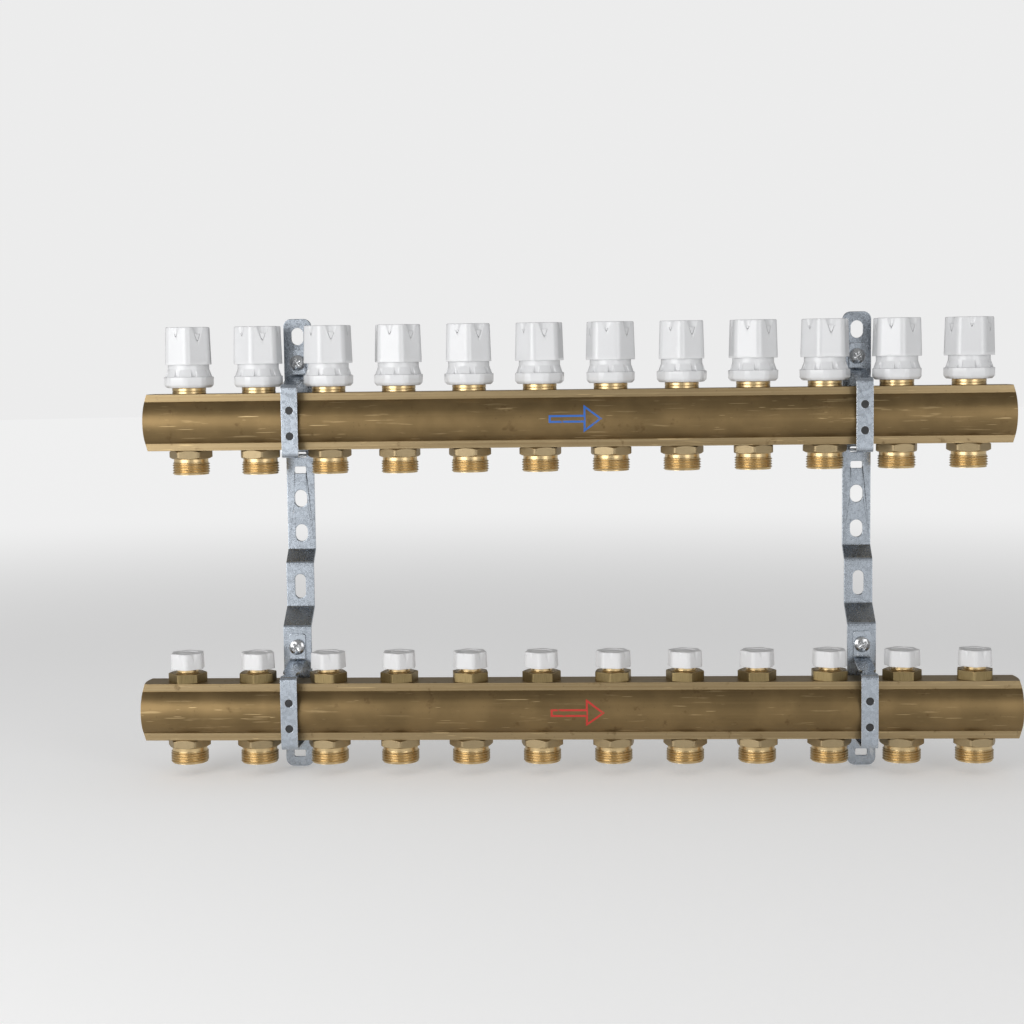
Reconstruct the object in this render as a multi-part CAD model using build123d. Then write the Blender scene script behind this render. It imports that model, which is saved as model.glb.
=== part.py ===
"""Twelve-circuit underfloor heating manifold: a return bar with handwheels above a flow bar.

Frame, in millimetres: X runs along the bars, +Y into the wall, +Z up.
The origin is on the wall plane, midway between the brackets, level with the lower bar's axis.
Heights named *_low and *_high are measured up from the axis of the bar that carries the piece.
"""

import os
from math import atan, cos, degrees, hypot, pi, radians, sin, sqrt, tan

from build123d import *

os.makedirs("parts", exist_ok=True)

# Layout
circuits = 12
circuit_pitch = 50.0
bar_end_margin = 30.0
bar_spacing = 202.0
bar_step = 29.0
bracket_pitches = 8

# Clearances
thread_clearance = 0.05
running_clearance = 0.06
stop_gap = 0.05
head_room = 0.8

# Extruded bars
barrel_radius = 19.0
bar_height = 40.0
bar_flat_depth = 24.0
chamber_radius = 14.5
end_thread_radius = 15.15
end_thread_length = 18.0
end_mouth_chamfer = 1.2
end_face_radius = 18.5
end_face_angle = 20.0

# Valve insert in the upper bar
insert_thread_radius = 10.4
insert_reach = 7.5
insert_flange_lip = 1.5
insert_flange_height = 4.5
insert_stub_radius = 11.0
insert_stub_height = 12.5
spring_well_radius = 6.0
spring_well_depth = 7.0
guide_length = 8.0
insert_recess_radius = 6.0

# Valve pin and its spring
pin_radius = 2.5
pin_collar_radius = 5.3
pin_collar_thickness = 1.5
pin_head_height = 6.0
disc_radius = 8.5
disc_thickness = 3.5
spring_radius = 4.2
spring_wire_radius = 0.45
spring_gap = 0.5
spring_pitch = 2.4

# White collar that screws on the insert
collar_flange_radius = 17.6
collar_flange_flat = 16.9
collar_facets = 8
collar_flange_height = 7.7
collar_flange_chamfer = 2.0
collar_neck_radius = 14.5
collar_neck_height = 17.8
gusset_height = 5.3
gusset_foot = 1.9
gusset_angle = 33.0

# Handwheel
handwheel_low = 40.7
handwheel_height = 26.6
handwheel_radius = 17.5
handwheel_corner = 5.5
handwheel_facets = 6
handwheel_top_radius = 16.7
handwheel_edge = 0.8
handwheel_bore_radius = 15.1
handwheel_upper_bore_radius = 12.5
handwheel_roof = 3.8
guide_band_low = 1.3
guide_band_height = 5.0
pusher_radius = 4.0
dent_long = 12.5
dent_short = 8.5
dent_tilt = 26.5
dent_half_angle = 33.8
face_recess_radius = 12.6
face_recess_depth = 0.6
handwheel_turns = (9.0, -6.0, -12.0, 14.0, 3.0, -14.0, 20.0, -3.0, 11.0, -20.0, 6.0, 25.0)

# Lockshield in the lower bar
lockshield_flat = 23.7
lockshield_hex_height = 6.5
lockshield_neck_radius = 7.5
lockshield_neck_height = 10.5
lockshield_turns = (10.0, 27.0, -8.0, 16.0, -21.0, 5.0, 22.0, -13.0, 2.0, 29.0, -4.0, 18.0)
hex_corner_share = 0.965
spindle_radius = 4.0
spindle_drop = 2.5
spindle_socket_flat = 5.0
spindle_socket_depth = 6.0
plug_radius = 8.0
plug_height = 6.0
plug_tip_radius = 5.4
plug_nose_radius = 3.0
plug_travel = 4.0

# Small dented cap over the lockshield
cap_low = 29.4
cap_height = 11.2
cap_radius = 12.5
cap_corner = 3.9
cap_top_radius = 12.1
cap_facets = 6
cap_edge = 0.7
cap_roof = 2.2
cap_dent_long = 6.0
cap_dent_short = 4.5
cap_turns = (7.0, 19.0, -12.0, 3.0, 15.0, -5.0, 21.0, 10.0, -17.0, 1.0, 13.0, -9.0)

# Outlet nipple below both bars
seat_height = 8.0
seat_bore_radius = 6.5
spigot_radius = 9.9
outlet_flat = 27.0
outlet_hex_height = 6.0
outlet_neck_radius = 12.2
outlet_neck_height = 2.4
outlet_thread_radius = 13.22
outlet_thread_length = 8.9
outlet_thread_chamfer = 0.9
outlet_bore_radius = 9.0
outlet_bore_depth = 1.5
outlet_mouth_radius = 10.2
outlet_mouth_depth = 4.5
outlet_turns = (4.0, -16.0, 11.0, 24.0, -9.0, 17.0, -22.0, 8.0, 28.0, -3.0, 14.0, -12.0)

# Seal rings
ring_height = 2.0
ring_depth = 1.5
ring_inset = 1.4
stem_ring_depth = 1.6
stem_ring_inset = 2.6

# Bracket plates
plate_width = 20.0
plate_thickness = 2.5
plate_bend = 1.5
plate_corner = 5.5
plate_top = 72.5
plate_bottom = -45.5
first_step = 11.0
first_ramp = (-94.4, -103.2)
second_ramp = (67.2, 55.0)
wall_slot_width = 8.9
wall_slot_length = 12.4
wall_slots = (60.0, -57.0, -82.0)
middle_slot_width = 7.8
middle_slot_length = 17.5
middle_slot = 82.3
key_slot_width = 8.2
key_slot_height = 5.0
key_slot_low = -36.3
hook_slot_width = 9.2
hook_slot_height = 4.0
waist_depth = 3.0
waist_height = 7.5

# Clamp straps, pads and screws
strap_width = 11.6
strap_thickness = 1.5
strap_bend = 2.0
strap_tab = (50.3, 31.2)
strap_shoulder = 25.2
strap_foot = -24.4
strap_hook = -25.4
hook_width = 8.4
strap_hole_radius = 2.8
strap_holes = (8.0, -10.0)
strap_tab_corner = 2.0
neck_cut_radius = 7.0
neck_width = 7.6
neck_set_back = 8.0
pad_width = 10.6
pad_thickness = 1.5
pad_half_height = 13.5
nub_radius = 2.75
screw_height = 41.0
screw_radius = 2.95
screw_hole_radius = 3.3
screw_head_radius = 5.5
screw_head_height = 3.6
screw_head_round = 1.9
recess_width = 1.3
recess_span = 6.4
recess_depth = 1.9

# Placing
bar_length = (circuits - 1) * circuit_pitch + 2 * bar_end_margin
bar_top = bar_height / 2
plate_face = barrel_radius + pad_thickness
upper_axis = (-(plate_face + plate_thickness), bar_spacing)
lower_axis = (upper_axis[0] - bar_step, 0.0)
circuit_x = [(i - (circuits - 1) / 2) * circuit_pitch for i in range(circuits)]
bracket_x = (-bracket_pitches * circuit_pitch / 2, bracket_pitches * circuit_pitch / 2)
corner_radius = hypot(bar_flat_depth / 2, bar_top)

# Heights above the carrying bar's axis
insert_low = bar_top - insert_reach
insert_flange_radius = insert_thread_radius + insert_flange_lip
insert_shoulder = bar_top + insert_flange_height
insert_top = insert_shoulder + insert_stub_height
well_floor = insert_top - spring_well_depth
guide_floor = well_floor - guide_length
pin_collar_low = insert_top + spring_gap
pin_top = pin_collar_low + pin_collar_thickness + pin_head_height
seat_level = -bar_top + seat_height
disc_low = seat_level + stop_gap
lockshield_top = bar_top + lockshield_hex_height
lockshield_neck_top = lockshield_top + lockshield_neck_height
spindle_top = lockshield_neck_top - spindle_drop
outlet_hex_low = -bar_top - outlet_hex_height
outlet_neck_low = outlet_hex_low - outlet_neck_height
outlet_low = outlet_neck_low - outlet_thread_length
neck_top = insert_shoulder + collar_flange_height + collar_neck_height


def lathe(points):
    """Solid turned about Z from radius and height pairs."""
    outline = make_face(Plane.XZ * Polyline(*points, close=True))
    return revolve(outline, Axis.Z)


def rod(radius, low, high):
    """Upright cylinder between two heights."""
    return Pos(0, 0, (low + high) / 2) * Cylinder(radius, high - low)


def ring_section(inner, outer, low, high):
    """Upright ring with a square section."""
    return rod(outer, low, high) - rod(inner, low - head_room, high + head_room)


def softened_polygon(flat, corner, sides):
    """Polygon whose corners are rounded off by a circle."""
    return RegularPolygon(flat, sides, major_radius=False) & Circle(corner)


def place(piece, x, axis, turn=0.0):
    """Copy of a piece moved to its circuit and turned about its own axis."""
    return Pos(x, axis[0], axis[1]) * Rot(0, 0, turn) * piece


def write(name, solids):
    """Write one named node."""
    if len(solids) == 1:
        export_step(solids[0], f"parts/{name}.step")
    else:
        export_step(Compound(children=list(solids)), f"parts/{name}.step")


def bar_blank(length):
    """Solid length of the extruded bar, along X."""
    outline = Plane.YZ * (Circle(barrel_radius) + Rectangle(bar_flat_depth, bar_height))
    return extrude(outline, length / 2, both=True)


def make_bar(top_hole, bottom_hole):
    """Bar along X with a turned end, end threads, a chamber and its rows of holes."""
    half = bar_length / 2
    bar = bar_blank(bar_length)
    reach = corner_radius + 1
    set_back = (reach - end_face_radius) * tan(radians(end_face_angle))
    points = [(-half, 0), (-half, end_face_radius), (-half + set_back, reach)]
    points += [(half - set_back, reach), (half, end_face_radius), (half, 0)]
    bar &= revolve(make_face(Polyline(*points, close=True)), Axis.X)
    mouth = end_thread_radius + end_mouth_chamfer
    inner = half - end_thread_length
    lip = half - end_mouth_chamfer
    points = [(-half, 0), (-half, mouth), (-lip, end_thread_radius), (-inner, end_thread_radius)]
    points += [(-inner, chamber_radius), (inner, chamber_radius), (inner, end_thread_radius)]
    points += [(lip, end_thread_radius), (half, mouth), (half, 0)]
    bar -= revolve(make_face(Polyline(*points, close=True)), Axis.X)
    for x in circuit_x:
        bar -= Pos(x, 0, 0) * rod(top_hole, 0, bar_top + head_room)
        bar -= Pos(x, 0, 0) * rod(bottom_hole, -bar_top - head_room, 0)
    return bar


def make_insert():
    """Valve insert with a spring well, a stem guide and two ring grooves."""
    guide = pin_radius + running_clearance
    ring_top = guide_floor + stem_ring_inset + ring_height
    ring_low = guide_floor + stem_ring_inset
    outer_ring_top = bar_top - ring_inset
    outer_ring_low = outer_ring_top - ring_height
    points = [(insert_thread_radius, insert_low), (insert_thread_radius, outer_ring_low)]
    points += [(insert_thread_radius - ring_depth, outer_ring_low)]
    points += [(insert_thread_radius - ring_depth, outer_ring_top)]
    points += [(insert_thread_radius, outer_ring_top), (insert_thread_radius, bar_top)]
    points += [(insert_flange_radius, bar_top), (insert_flange_radius, insert_shoulder)]
    points += [(insert_stub_radius, insert_shoulder), (insert_stub_radius, insert_top)]
    points += [(spring_well_radius, insert_top), (spring_well_radius, well_floor)]
    points += [(guide, well_floor), (guide, ring_top), (guide + stem_ring_depth, ring_top)]
    points += [(guide + stem_ring_depth, ring_low), (guide, ring_low), (guide, guide_floor)]
    points += [(insert_recess_radius, guide_floor), (insert_recess_radius, insert_low)]
    return lathe(points)


def make_pin():
    """Valve pin with its spring collar and the disc that shuts on the nipple."""
    pin = rod(pin_radius, disc_low, pin_top)
    pin += rod(pin_collar_radius, pin_collar_low, pin_collar_low + pin_collar_thickness)
    return pin + rod(disc_radius, disc_low, disc_low + disc_thickness)


def make_spring():
    """Return spring at its shut length, its ends ground flat."""
    low = well_floor - spring_wire_radius / 2
    high = pin_collar_low + spring_wire_radius / 2
    path = Helix(spring_pitch, high - low, spring_radius)
    start = path @ 0
    profile = Plane(origin=start, z_dir=path % 0) * Circle(spring_wire_radius)
    coil = Pos(0, 0, low) * sweep(profile, path, is_frenet=True)
    return coil & rod(2 * spring_radius, well_floor, pin_collar_low)


def make_collar():
    """Faceted collar with a tall neck that the handwheel turns on."""
    flange_top = insert_shoulder + collar_flange_height
    outline = RegularPolygon(collar_flange_flat, collar_facets, major_radius=False)
    flange = Pos(0, 0, insert_shoulder) * extrude(outline, collar_flange_height)
    points = [(0, insert_shoulder), (collar_flange_radius - collar_flange_chamfer, insert_shoulder)]
    points += [(collar_flange_radius, insert_shoulder + collar_flange_chamfer)]
    points += [(collar_flange_radius, flange_top), (0, flange_top)]
    collar = flange & lathe(points)
    collar += rod(collar_neck_radius, flange_top - head_room, neck_top)
    points = [(0, flange_top), (collar_neck_radius + gusset_foot, flange_top)]
    points += [(collar_neck_radius, flange_top + gusset_height), (0, flange_top + gusset_height)]
    flare = lathe(points)
    width = 2 * collar_flange_radius * sin(radians(gusset_angle / 2))
    for i in range(collar_facets):
        wedge = Box(collar_flange_radius, width, 2 * gusset_height)
        wedge = Pos(collar_flange_radius / 2, 0, flange_top) * wedge
        collar += flare & (Rot(0, 0, i * 360 / collar_facets) * wedge)
    bore = insert_stub_radius + thread_clearance
    return collar - rod(bore, insert_shoulder - head_room, neck_top + head_room)


def dented_knob(low, height, radius, top_radius, corner, facets, edge, dents):
    """Tapered knob with flats, each with a pointed finger dent running down from the top."""
    taper = degrees(atan((radius - top_radius) / height))
    flat = corner + (radius - corner) * cos(pi / facets)
    sides = RegularPolygon(flat, facets, major_radius=False, rotation=180 / facets)
    outline = fillet(sides.vertices(), corner)
    knob = Pos(0, 0, low) * extrude(outline, height, taper=taper)
    knob = fillet(knob.edges().group_by(Axis.Z)[-1], edge)
    for i in range(facets):
        length = dents[i % 2]
        surface = flat - (height - length) * tan(radians(taper))
        reach = 2 * length
        cone = Pos(0, 0, reach / 2) * Cone(0, reach * tan(radians(dent_half_angle)), reach)
        cone = Pos(surface, 0, low + height - length) * Rot(0, dent_tilt, 0) * cone
        knob -= Rot(0, 0, i * 360 / facets) * cone
    return knob


def make_handwheel():
    """Handwheel with six flats, finger dents round its top and a pusher for the pin."""
    top = handwheel_low + handwheel_height
    wheel = dented_knob(
        handwheel_low,
        handwheel_height,
        handwheel_radius,
        handwheel_top_radius,
        handwheel_corner,
        handwheel_facets,
        handwheel_edge,
        (dent_short, dent_long),
    )
    band_low = handwheel_low + guide_band_low
    band_high = band_low + guide_band_height
    roof = top - handwheel_roof
    hollow = neck_top + head_room
    band = collar_neck_radius + running_clearance
    points = [(0, handwheel_low), (handwheel_bore_radius, handwheel_low)]
    points += [(handwheel_bore_radius, band_low), (band, band_low), (band, band_high)]
    points += [(handwheel_bore_radius, band_high), (handwheel_bore_radius, hollow)]
    points += [(handwheel_upper_bore_radius, hollow), (handwheel_upper_bore_radius, roof), (0, roof)]
    wheel -= lathe(points)
    wheel -= rod(face_recess_radius, top - face_recess_depth, top + head_room)
    return wheel + rod(pusher_radius, pin_top + stop_gap, roof + head_room)


def make_hexagon(flat, low, high):
    """Upright hexagon with its corners turned down."""
    corner = flat / 2 / cos(pi / 6) * hex_corner_share
    outline = softened_polygon(flat / 2, corner, 6)
    return Pos(0, 0, low) * extrude(outline, high - low)


def make_lockshield():
    """Lockshield body with its hexagon, thread, neck and spindle bore."""
    outer_ring_top = bar_top - ring_inset
    outer_ring_low = outer_ring_top - ring_height
    bore = spindle_radius + running_clearance
    ring_low = lockshield_top + ring_inset
    ring_top = ring_low + ring_height
    body = rod(insert_thread_radius, insert_low, bar_top)
    body += make_hexagon(lockshield_flat, bar_top, lockshield_top)
    body += rod(lockshield_neck_radius, lockshield_top - head_room, lockshield_neck_top)
    body -= ring_section(insert_thread_radius - ring_depth, barrel_radius, outer_ring_low, outer_ring_top)
    body -= rod(bore, insert_low, lockshield_neck_top + head_room)
    body -= rod(plug_radius + head_room, insert_low - head_room, insert_low + head_room)
    return body - rod(bore + ring_depth, ring_low, ring_top)


def make_spindle():
    """Regulating spindle, open, with a hexagon socket above and a plug below."""
    plug_low = seat_level + plug_travel
    plug_high = plug_low + plug_height
    points = [(0, plug_low - plug_travel), (plug_nose_radius, plug_low - plug_travel)]
    points += [(plug_tip_radius, plug_low), (plug_radius, plug_low), (plug_radius, plug_high)]
    points += [(spindle_radius, plug_high), (spindle_radius, spindle_top), (0, spindle_top)]
    socket = RegularPolygon(spindle_socket_flat / 2, 6, major_radius=False)
    cut = Pos(0, 0, spindle_top - spindle_socket_depth) * extrude(socket, spindle_socket_depth + head_room)
    return lathe(points) - cut


def make_cap():
    """Small dented cap that covers the lockshield neck."""
    cap = dented_knob(
        cap_low,
        cap_height,
        cap_radius,
        cap_top_radius,
        cap_corner,
        cap_facets,
        cap_edge,
        (cap_dent_short, cap_dent_long),
    )
    bore = lockshield_neck_radius + running_clearance
    return cap - rod(bore, cap_low - head_room, cap_low + cap_height - cap_roof)


def make_nipple():
    """Outlet nipple with a valve seat on top, a hexagon, a thread and a coned mouth."""
    ring_top = -bar_top + ring_inset + ring_height
    ring_low = -bar_top + ring_inset
    step = -bar_top - outlet_bore_depth
    cone_top = outlet_low + outlet_mouth_depth
    chamfer = outlet_thread_chamfer
    points = [(seat_bore_radius, seat_level), (spigot_radius, seat_level), (spigot_radius, ring_top)]
    points += [(spigot_radius - ring_depth, ring_top), (spigot_radius - ring_depth, ring_low)]
    points += [(spigot_radius, ring_low), (spigot_radius, outlet_hex_low)]
    points += [(outlet_neck_radius, outlet_hex_low), (outlet_neck_radius, outlet_neck_low)]
    points += [(outlet_thread_radius, outlet_neck_low), (outlet_thread_radius, outlet_low + chamfer)]
    points += [(outlet_thread_radius - chamfer, outlet_low), (outlet_mouth_radius, outlet_low)]
    points += [(outlet_bore_radius, cone_top), (outlet_bore_radius, step), (seat_bore_radius, step)]
    hexagon = make_hexagon(outlet_flat, outlet_hex_low, -bar_top)
    hexagon -= rod(outlet_bore_radius, outlet_hex_low - head_room, step)
    hexagon -= rod(seat_bore_radius, outlet_hex_low - head_room, -bar_top + head_room)
    return lathe(points) + hexagon


def bent_strip(path, thickness, inner_radius, width):
    """Strip of sheet along a path of Y and Z points, with rounded bends."""
    sides = {1: [], -1: []}
    bends = []
    for i, point in enumerate(path):
        before = path[max(i - 1, 0)]
        after = path[min(i + 1, len(path) - 1)]
        into = (Vector(*point) - Vector(*before)).normalized() if i else None
        away = (Vector(*after) - Vector(*point)).normalized() if point != path[-1] else None
        first = into or away
        last = away or into
        middle = (first + last).normalized()
        normal = Vector(-middle.Y, middle.X)
        spread = thickness / 2 / middle.dot(first)
        for side in (1, -1):
            sides[side].append(Vector(*point) + normal * spread * side)
        if into and away:
            bends.append((i, 1 if into.X * away.Y - into.Y * away.X > 0 else -1))
    outline = make_face(Polyline(*sides[1], *reversed(sides[-1]), close=True))
    for i, inside in bends:
        for side in (1, -1):
            radius = inner_radius if side == inside else inner_radius + thickness
            corner = outline.vertices().sort_by_distance(sides[side][i])[0]
            outline = fillet(corner, radius)
    return extrude(Plane.YZ * outline, width / 2, both=True)


def window(width, height, z, depth):
    """Round-ended upright opening cut along Y."""
    shape = SlotOverall(height, width, rotation=90) if height > width else SlotOverall(width, height)
    return Pos(0, 0, z) * extrude(Plane.XZ * shape, depth, both=True)


def box_window(width, height, z, x, depth):
    """Opening with small round corners cut along Y."""
    return Pos(x, 0, z) * extrude(Plane.XZ * RectangleRounded(width, height, 1.0), depth, both=True)


def make_plate():
    """Joggled bracket plate that carries both bars."""
    half = plate_thickness / 2
    depth = bar_step + 2 * plate_thickness
    top = bar_spacing + plate_top
    path = [(-half, top), (-half, bar_spacing + first_ramp[0])]
    path += [(-half - first_step, bar_spacing + first_ramp[1]), (-half - first_step, second_ramp[0])]
    path += [(-half - bar_step, second_ramp[1]), (-half - bar_step, plate_bottom)]
    plate = bent_strip(path, plate_thickness, plate_bend, plate_width)
    middle = (top + plate_bottom) / 2
    outline = RectangleRounded(plate_width, top - plate_bottom, plate_corner)
    plate &= Pos(0, 0, middle) * extrude(Plane.XZ * outline, depth, both=True)
    for z in wall_slots:
        plate -= window(wall_slot_width, wall_slot_length, bar_spacing + z, depth)
    plate -= window(middle_slot_width, middle_slot_length, middle_slot, depth)
    for z in (0.0, bar_spacing):
        plate -= box_window(key_slot_width, key_slot_height, z + key_slot_low, 0, depth)
        plate -= box_window(hook_slot_width, hook_slot_height, z + strap_hook, 0, depth)
        hole = Cylinder(screw_radius + thread_clearance, 2 * depth, rotation=(90, 0, 0))
        plate -= Pos(0, 0, z + screw_height) * hole
    for side in (-1, 1):
        plate -= box_window(2 * waist_depth, waist_height, strap_hook, side * plate_width / 2, depth)
    return plate


def make_strap():
    """Clamp strap in the frame of its bar's axis, from the screwed tab round to the hook."""
    half = strap_thickness / 2
    tab = plate_face - half
    front = -(barrel_radius + pad_thickness) - half
    hook_end = plate_face + plate_thickness - half
    path = [(tab, strap_tab[0]), (tab, strap_tab[1]), (front, strap_shoulder)]
    path += [(front, strap_foot), (hook_end, strap_hook)]
    strap = bent_strip(path, strap_thickness, strap_bend, strap_width)
    tall = strap_tab[0] - strap_foot + 4 * strap_thickness
    outline = RectangleRounded(strap_width, tall, strap_tab_corner)
    strap &= Pos(0, 0, strap_tab[0] - tall / 2) * extrude(Plane.XZ * outline, 3 * barrel_radius, both=True)
    for z in strap_holes:
        hole = Cylinder(strap_hole_radius, 4 * strap_thickness, rotation=(90, 0, 0))
        strap -= Pos(0, front, z) * hole
    hole = Cylinder(screw_hole_radius, 4 * strap_thickness, rotation=(90, 0, 0))
    strap -= Pos(0, tab, screw_height) * hole
    for side in (-1, 1):
        across = side * (neck_width / 2 + neck_cut_radius)
        cut = rod(neck_cut_radius, bar_top, strap_tab[1] + head_room)
        strap -= Pos(across, front + neck_set_back, 0) * cut
        trim = Box(strap_width, 2 * plate_thickness, 4 * strap_thickness)
        across = side * (hook_width + strap_width) / 2
        strap -= Pos(across, plate_face - head_room + plate_thickness, strap_hook) * trim
    return strap


def make_front_pad():
    """Rubber pad under the strap, with the two nubs that fill its holes."""
    back = -sqrt(barrel_radius**2 - pad_half_height**2)
    front = -plate_face
    pad = Pos(0, (front + back) / 2, 0) * Box(pad_width, back - front, 2 * pad_half_height)
    pad -= bar_blank(2 * pad_width)
    length = strap_thickness - thread_clearance
    for z in strap_holes:
        pad += Pos(0, front - length / 2, z) * Cylinder(nub_radius, length, rotation=(90, 0, 0))
    return pad


def make_rear_pad():
    """Rubber pad between the bar and the plate."""
    front = sqrt(barrel_radius**2 - pad_half_height**2)
    pad = Pos(0, (front + plate_face) / 2, 0) * Box(pad_width, plate_face - front, 2 * pad_half_height)
    return pad - bar_blank(2 * pad_width)


def make_screw():
    """Cross-recessed pan-head screw along Y, its head seated on the strap's tab."""
    seat = plate_face - strap_thickness
    head = Cylinder(screw_head_radius, screw_head_height)
    head = fillet(head.edges().group_by(Axis.Z)[-1], screw_head_round)
    head = Pos(0, 0, screw_head_height / 2) * head
    for turn in (0, 90):
        blade = Box(recess_span, recess_width, 2 * recess_depth)
        head -= Pos(0, 0, screw_head_height) * Rot(0, 0, turn + 35) * blade
    shank = strap_thickness + plate_thickness - thread_clearance
    screw = head + rod(screw_radius, -shank, screw_head_round)
    return Pos(0, seat, screw_height) * Rot(90, 0, 0) * screw


seat_hole = insert_thread_radius + thread_clearance
nipple_hole = spigot_radius + thread_clearance
bar = make_bar(seat_hole, nipple_hole)
write("upper_bar", [place(bar, 0, upper_axis)])
write("lower_bar", [place(bar, 0, lower_axis)])

insert = make_insert()
write("valve_inserts", [place(insert, x, upper_axis) for x in circuit_x])
collar = make_collar()
pairs = list(zip(circuit_x, outlet_turns))
write("knob_collars", [place(collar, x, upper_axis, turn) for x, turn in pairs])
spring = make_spring()
write("return_springs", [place(spring, x, upper_axis) for x in circuit_x])
lockshield = make_lockshield()
turned = zip(circuit_x, lockshield_turns)
write("lockshield_bodies", [place(lockshield, x, lower_axis, turn) for x, turn in turned])
nipple = make_nipple()
nipples = []
for axis, sign in ((upper_axis, 1), (lower_axis, -1)):
    nipples += [place(nipple, x, axis, sign * turn) for x, turn in pairs]
write("outlet_nipples", nipples)

outer_ring_high = bar_top - ring_inset
top_ring = ring_section(
    insert_thread_radius - ring_depth, seat_hole, outer_ring_high - ring_height, outer_ring_high
)
low_ring = ring_section(
    spigot_radius - ring_depth,
    nipple_hole,
    -bar_top + ring_inset,
    -bar_top + ring_inset + ring_height,
)
pin_ring = ring_section(
    pin_radius + running_clearance,
    pin_radius + running_clearance + stem_ring_depth,
    guide_floor + stem_ring_inset,
    guide_floor + stem_ring_inset + ring_height,
)
spindle_ring = ring_section(
    spindle_radius + running_clearance,
    spindle_radius + running_clearance + ring_depth,
    lockshield_top + ring_inset,
    lockshield_top + ring_inset + ring_height,
)
rings = []
for axis, gland in ((upper_axis, pin_ring), (lower_axis, spindle_ring)):
    for x in circuit_x:
        rings += [place(piece, x, axis) for piece in (top_ring, low_ring, gland)]
write("seal_rings", rings)

pin = make_pin()
handwheel = make_handwheel()
spindle = make_spindle()
cap = make_cap()
for i, x in enumerate(circuit_x):
    number = f"{i + 1:02d}"
    write(f"valve_pin_{number}", [place(pin, x, upper_axis)])
    write(f"handwheel_{number}", [place(handwheel, x, upper_axis, handwheel_turns[i])])
    write(f"lockshield_spindle_{number}", [place(spindle, x, lower_axis)])
    write(f"lockshield_cap_{number}", [place(cap, x, lower_axis, cap_turns[i])])

plate = make_plate()
strap = make_strap()
pads = (make_front_pad(), make_rear_pad())
screw = make_screw()
spots = [(x, axis) for x in bracket_x for axis in (upper_axis, lower_axis)]
write("bracket_plates", [Pos(x, 0, 0) * plate for x in bracket_x])
write("clamp_straps", [place(strap, x, axis) for x, axis in spots])
write("clamp_pads", [place(pad, x, axis) for x, axis in spots for pad in pads])
write("clamp_screws", [place(screw, x, axis) for x, axis in spots])
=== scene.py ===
from math import cos, pi, radians, sin, tan

import bmesh
import bpy
import numpy as np
from bpy.props import FloatProperty, FloatVectorProperty, IntProperty, PointerProperty
from mathutils import Matrix, Vector


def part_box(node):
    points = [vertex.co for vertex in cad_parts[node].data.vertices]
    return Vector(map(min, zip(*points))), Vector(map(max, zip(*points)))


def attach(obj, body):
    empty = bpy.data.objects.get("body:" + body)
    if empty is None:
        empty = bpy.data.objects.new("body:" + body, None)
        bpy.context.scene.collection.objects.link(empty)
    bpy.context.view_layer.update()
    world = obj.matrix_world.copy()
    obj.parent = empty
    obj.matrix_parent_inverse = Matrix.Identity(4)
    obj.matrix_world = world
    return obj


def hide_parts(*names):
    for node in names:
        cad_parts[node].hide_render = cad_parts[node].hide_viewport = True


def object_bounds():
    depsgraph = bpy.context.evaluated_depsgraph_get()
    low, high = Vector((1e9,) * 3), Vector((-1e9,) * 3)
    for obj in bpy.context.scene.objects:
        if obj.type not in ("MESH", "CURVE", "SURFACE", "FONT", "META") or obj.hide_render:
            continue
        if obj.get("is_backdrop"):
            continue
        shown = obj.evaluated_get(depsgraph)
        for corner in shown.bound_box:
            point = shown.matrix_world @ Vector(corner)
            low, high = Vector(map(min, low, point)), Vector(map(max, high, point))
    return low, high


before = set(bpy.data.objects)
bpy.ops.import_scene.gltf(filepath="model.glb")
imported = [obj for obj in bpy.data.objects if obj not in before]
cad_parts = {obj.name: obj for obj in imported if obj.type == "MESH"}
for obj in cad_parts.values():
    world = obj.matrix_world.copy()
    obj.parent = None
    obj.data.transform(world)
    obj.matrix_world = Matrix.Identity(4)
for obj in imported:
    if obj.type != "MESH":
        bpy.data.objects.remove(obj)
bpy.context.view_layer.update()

bl_info = {
    "name": "Underfloor Heating Manifold",
    "version": (1, 0, 0),
    "blender": (4, 5, 0),
    "location": "View3D > Sidebar > Manifold",
    "description": "Builds the visible pieces of a twelve-circuit underfloor heating manifold",
    "category": "Add Mesh",
}

MM = 0.001
FIXED = "manifold"
NUMBERS = [f"{i + 1:02d}" for i in range(12)]


def middle(node):
    """Centre of a node's box."""
    low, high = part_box(node)
    return (low + high) / 2


# Where the frame has the bars and circuits
WHEEL_LOW, WHEEL_HIGH = (corner.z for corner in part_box("handwheel_01"))
CAP_LOW, CAP_HIGH = (corner.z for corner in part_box("lockshield_cap_01"))
UPPER_AXIS = (middle("valve_pin_01").y, middle("upper_bar").z)
LOWER_AXIS = (middle("lockshield_spindle_01").y, middle("lower_bar").z)
CIRCUITS = [middle(f"valve_pin_{number}").x for number in NUMBERS]
BAR_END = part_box("upper_bar")[1].x
BAR_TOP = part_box("upper_bar")[1].z - UPPER_AXIS[1]

# Pale tone of the room behind the manifold
ROOM_TONE = (0.84, 0.84, 0.84)

# Knobs, bored from below and recessed on top
WHEEL_BORE = 15.1 * MM
WHEEL_RECESS = 12.4 * MM
WHEEL_STEPS = 240
CAP_BORE = 7.56 * MM
CAP_RECESS = 7.5 * MM
CAP_STEPS = 168

# Outlet nipple, measured down from the bar
OUTLET_SPIGOT = 9.6 * MM
OUTLET_SPIGOT_BORE = 6.5 * MM
OUTLET_HEXAGON = 6 * MM
OUTLET_HEXAGON_LEAN = 28
OUTLET_NECK = 12.2 * MM
OUTLET_THREAD_START = 8.4 * MM
OUTLET_LENGTH = 17.3 * MM
OUTLET_BORE = 9.0 * MM
OUTLET_MOUTH = 10.2 * MM
OUTLET_MOUTH_DEPTH = 4.5 * MM

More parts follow.
